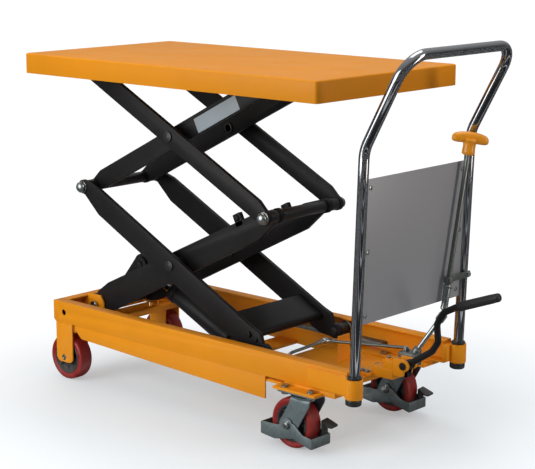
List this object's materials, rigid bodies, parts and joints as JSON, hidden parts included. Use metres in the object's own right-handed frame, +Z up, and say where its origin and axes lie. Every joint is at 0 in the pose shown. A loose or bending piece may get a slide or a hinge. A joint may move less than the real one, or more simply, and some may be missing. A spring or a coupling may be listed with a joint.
{
  "type": "scissor lift table",
  "caption": "Mobile scissor lift table: flat deck on crossed arms over a wheeled base with foot pump, release knob and push handle.",
  "frame": {"origin": "middle of the bounding box on the floor, wheels standing on Z = 0", "axes": "+X towards the push handle and foot pedal, +Y to the operator's right when facing the deck from the handle, +Z up"},
  "size_m": [1.3142, 0.53, 0.9656],
  "materials": {
    "orange": "satin powder coat",
    "black_paint": "satin",
    "bright_steel": "zinc plated",
    "chrome": "polished",
    "zinc": "galvanised, dull",
    "panel_grey": "satin",
    "red_tyre": "polyurethane, satin",
    "black_plastic": "matt",
    "black_rubber": "matt",
    "orange_plastic": "semi-gloss"
  },
  "bodies": {
    "chassis": {"side_rail_l": "orange", "side_rail_r": "orange", "side_skirts": "orange", "end_cross_member": "orange", "cylinder_cross_member": "orange", "base_pan": "orange", "leg_plates": "orange", "base_pivot_brackets": "orange", "base_pivot_shaft": "bright_steel", "roller_tracks": "bright_steel", "fixed_axles": "bright_steel", "caster_mounts": "orange", "caster_plates": "zinc", "caster_bolts": "bright_steel", "handle_sockets": "orange", "push_handle": "chrome", "handle_foot_nuts": "black_plastic", "back_panel": "panel_grey", "panel_screws": "bright_steel", "rod_guide": "bright_steel", "pump_body": "orange", "pump_bolts": "bright_steel", "lowering_valve": "bright_steel", "pressure_pipe": "bright_steel"},
    "lower_fixed_arms": {"lower_narrow_arms": "black_paint", "lower_arm_tubes": "black_paint", "ram_lugs": "black_paint", "lower_narrow_pins": "bright_steel"},
    "lower_rolling_arms": {"lower_wide_arms": "black_paint", "arm_cross_plate": "black_paint", "lower_wide_pins": "bright_steel"},
    "upper_rolling_arms": {"upper_narrow_arms": "black_paint", "upper_narrow_pins": "bright_steel"},
    "upper_fixed_arms": {"upper_wide_arms": "black_paint"},
    "lift_deck": {"deck": "orange", "deck_channels": "orange", "deck_pivots": "orange"},
    "base_roller_pair": {"base_rollers": "bright_steel"},
    "deck_roller_pair": {"deck_rollers": "bright_steel"},
    "lift_barrel": {"cylinder_barrel": "black_paint"},
    "lift_ram": {"cylinder_ram": "chrome"},
    "fixed_wheel_l": {"fixed_tyre_l": "red_tyre", "fixed_hub_l": "black_plastic"},
    "fixed_wheel_r": {"fixed_tyre_r": "red_tyre", "fixed_hub_r": "black_plastic"},
    "swivel_l": {"caster_fork_l": "zinc"},
    "swivel_r": {"caster_fork_r": "zinc"},
    "caster_wheel_l": {"caster_tyre_l": "red_tyre", "caster_hub_l": "black_plastic"},
    "caster_wheel_r": {"caster_tyre_r": "red_tyre", "caster_hub_r": "black_plastic"},
    "brake_frame_l": {"caster_brake_l": "zinc"},
    "brake_frame_r": {"caster_brake_r": "zinc"},
    "release_handle": {"release_knob": "orange_plastic", "upper_rod": "bright_steel", "rod_sleeve": "bright_steel"},
    "release_spindle": {"lower_rod": "bright_steel"},
    "foot_pedal": {"pedal_lever": "black_paint", "pedal_grip": "black_rubber"},
    "plunger": {"pump_plunger": "bright_steel"}
  },
  "joints": [
    {"name": "lift", "type": "hinge", "parent": "chassis", "child": "lower_fixed_arms", "pos_m": [-0.57375, 0, 0.194], "axis": [0, -1, 0], "range_deg": [-20.4, 20]},
    {"name": "lower_scissor", "type": "hinge", "parent": "lower_fixed_arms", "child": "lower_rolling_arms", "pos_m": [-0.24586, 0, 0.36107], "axis": [0, -1, 0], "range_deg": [-40.1, 40.9]},
    {"name": "left_elbow", "type": "hinge", "parent": "lower_rolling_arms", "child": "upper_rolling_arms", "pos_m": [-0.57375, 0, 0.52814], "axis": [0, -1, 0], "range_deg": [-40.9, 40.1]},
    {"name": "upper_scissor", "type": "hinge", "parent": "upper_rolling_arms", "child": "upper_fixed_arms", "pos_m": [-0.24586, 0, 0.69521], "axis": [0, -1, 0], "range_deg": [-40.1, 40.9]},
    {"name": "deck_pivot", "type": "hinge", "parent": "upper_fixed_arms", "child": "lift_deck", "pos_m": [-0.57375, 0, 0.86227], "axis": [0, -1, 0], "range_deg": [-20.5, 20.1]},
    {"name": "base_roller_spin", "type": "hinge", "parent": "lower_rolling_arms", "child": "base_roller_pair", "pos_m": [0.08203, 0, 0.194], "axis": [0, 1, 0], "continuous": true},
    {"name": "deck_roller_spin", "type": "hinge", "parent": "upper_rolling_arms", "child": "deck_roller_pair", "pos_m": [0.08203, 0, 0.86227], "axis": [0, 1, 0], "continuous": true},
    {"name": "cylinder_swing", "type": "hinge", "parent": "chassis", "child": "lift_barrel", "pos_m": [-0.13575, 0, 0.139], "axis": [0, 1, 0], "range_deg": [-1.8, 1.8]},
    {"name": "ram_slide", "type": "slide", "parent": "lift_barrel", "child": "lift_ram", "axis": [-0.9031, 0, 0.4295], "range_m": [-0.0485, 0.0475]},
    {"name": "fixed_wheel_spin_l", "type": "hinge", "parent": "chassis", "child": "fixed_wheel_l", "pos_m": [-0.59475, -0.176, 0.0625], "axis": [0, 1, 0], "continuous": true},
    {"name": "fixed_wheel_spin_r", "type": "hinge", "parent": "chassis", "child": "fixed_wheel_r", "pos_m": [-0.59475, 0.176, 0.0625], "axis": [0, 1, 0], "continuous": true},
    {"name": "swivel_turn_l", "type": "hinge", "parent": "chassis", "child": "swivel_l", "pos_m": [0.26175, -0.19, 0.13], "axis": [0, 0, 1], "continuous": true},
    {"name": "swivel_turn_r", "type": "hinge", "parent": "chassis", "child": "swivel_r", "pos_m": [0.26175, 0.19, 0.13], "axis": [0, 0, 1], "continuous": true},
    {"name": "caster_wheel_spin_l", "type": "hinge", "parent": "swivel_l", "child": "caster_wheel_l", "pos_m": [0.23175, -0.19, 0.0625], "axis": [0, 1, 0], "continuous": true},
    {"name": "caster_wheel_spin_r", "type": "hinge", "parent": "swivel_r", "child": "caster_wheel_r", "pos_m": [0.23175, 0.19, 0.0625], "axis": [0, 1, 0], "continuous": true},
    {"name": "brake_press_l", "type": "hinge", "parent": "swivel_l", "child": "brake_frame_l", "pos_m": [0.23175, -0.19, 0.0625], "axis": [0, 1, 0], "range_deg": [0, 10]},
    {"name": "brake_press_r", "type": "hinge", "parent": "swivel_r", "child": "brake_frame_r", "pos_m": [0.23175, 0.19, 0.0625], "axis": [0, 1, 0], "range_deg": [0, 10]},
    {"name": "release_turn", "type": "hinge", "parent": "chassis", "child": "release_handle", "pos_m": [0.43825, 0.108, 0.303], "axis": [-0.0406, -0.1597, -0.9863], "range_deg": [0, 45]},
    {"name": "release_spindle_turn", "type": "hinge", "parent": "chassis", "child": "release_spindle", "pos_m": [0.43825, 0.108, 0.303], "axis": [-0.4596, -0.3129, -0.8312], "range_deg": [0, 45.1]},
    {"name": "pedal_press", "type": "hinge", "parent": "chassis", "child": "foot_pedal", "pos_m": [0.40025, 0.022, 0.19], "axis": [0, 1, 0], "range_deg": [0, 30], "stiffness_Nm_per_rad": 12, "springref_deg": -57.3},
    {"name": "plunger_stroke", "type": "slide", "parent": "chassis", "child": "plunger", "axis": [1, 0, 0], "range_m": [-0.0128, 0]}
  ],
  "couplings": [
    {"joint": "lower_scissor", "follows": "lift", "ratio": -2},
    {"joint": "left_elbow", "follows": "lift", "ratio": 2},
    {"joint": "upper_scissor", "follows": "lift", "ratio": -2},
    {"joint": "deck_pivot", "follows": "lift", "ratio": 1},
    {"joint": "cylinder_swing", "follows": "lift", "ratio": 0.084},
    {"joint": "ram_slide", "follows": "lift", "m_per_rad": 0.13475},
    {"joint": "release_spindle_turn", "follows": "release_turn", "ratio": 1},
    {"joint": "plunger_stroke", "follows": "pedal_press", "m_per_rad": -0.024}
  ]
}
